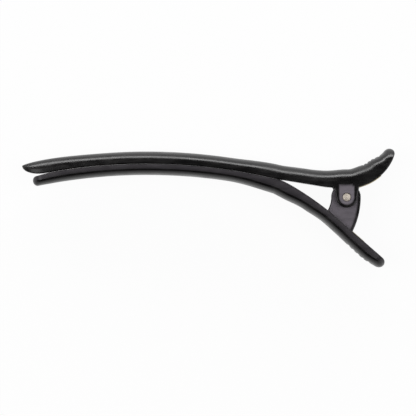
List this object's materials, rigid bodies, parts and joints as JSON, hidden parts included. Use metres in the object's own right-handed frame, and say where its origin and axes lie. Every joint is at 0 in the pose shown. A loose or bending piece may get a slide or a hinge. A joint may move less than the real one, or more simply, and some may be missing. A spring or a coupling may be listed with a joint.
{
  "type": "spring hair clip",
  "caption": "Long curved plastic hair-sectioning clip with two toothed jaws on a steel hinge pin, sprung shut and opened by squeezing its levers.",
  "frame": {"origin": "on the hinge pin's axis, in the flat side face that the clip rests on", "axes": "+X from the jaw tips towards the finger levers, +Y from the lower arm to the upper arm, +Z across the clip's width from the resting side to the other side"},
  "size_m": [0.1102, 0.0352, 0.011],
  "materials": {
    "black_plastic": "semi-gloss moulded black plastic",
    "pin_steel": "plain steel, cut and lightly tumbled",
    "spring_wire": "spring wire with a yellow passivated coat"
  },
  "bodies": {
    "upper": {"upper_jaw": "black_plastic", "hinge_pin": "pin_steel", "torsion_spring": "spring_wire"},
    "lower": {"lower_jaw": "black_plastic"}
  },
  "joints": [
    {"name": "jaw_hinge", "type": "hinge", "parent": "upper", "child": "lower", "pos_m": [0, 0, 0.0055], "axis": [0, 0, 1], "range_deg": [0, 35], "stiffness_Nm_per_rad": 0.195, "springref_deg": -20.05, "deforming": ["torsion_spring"]}
  ]
}
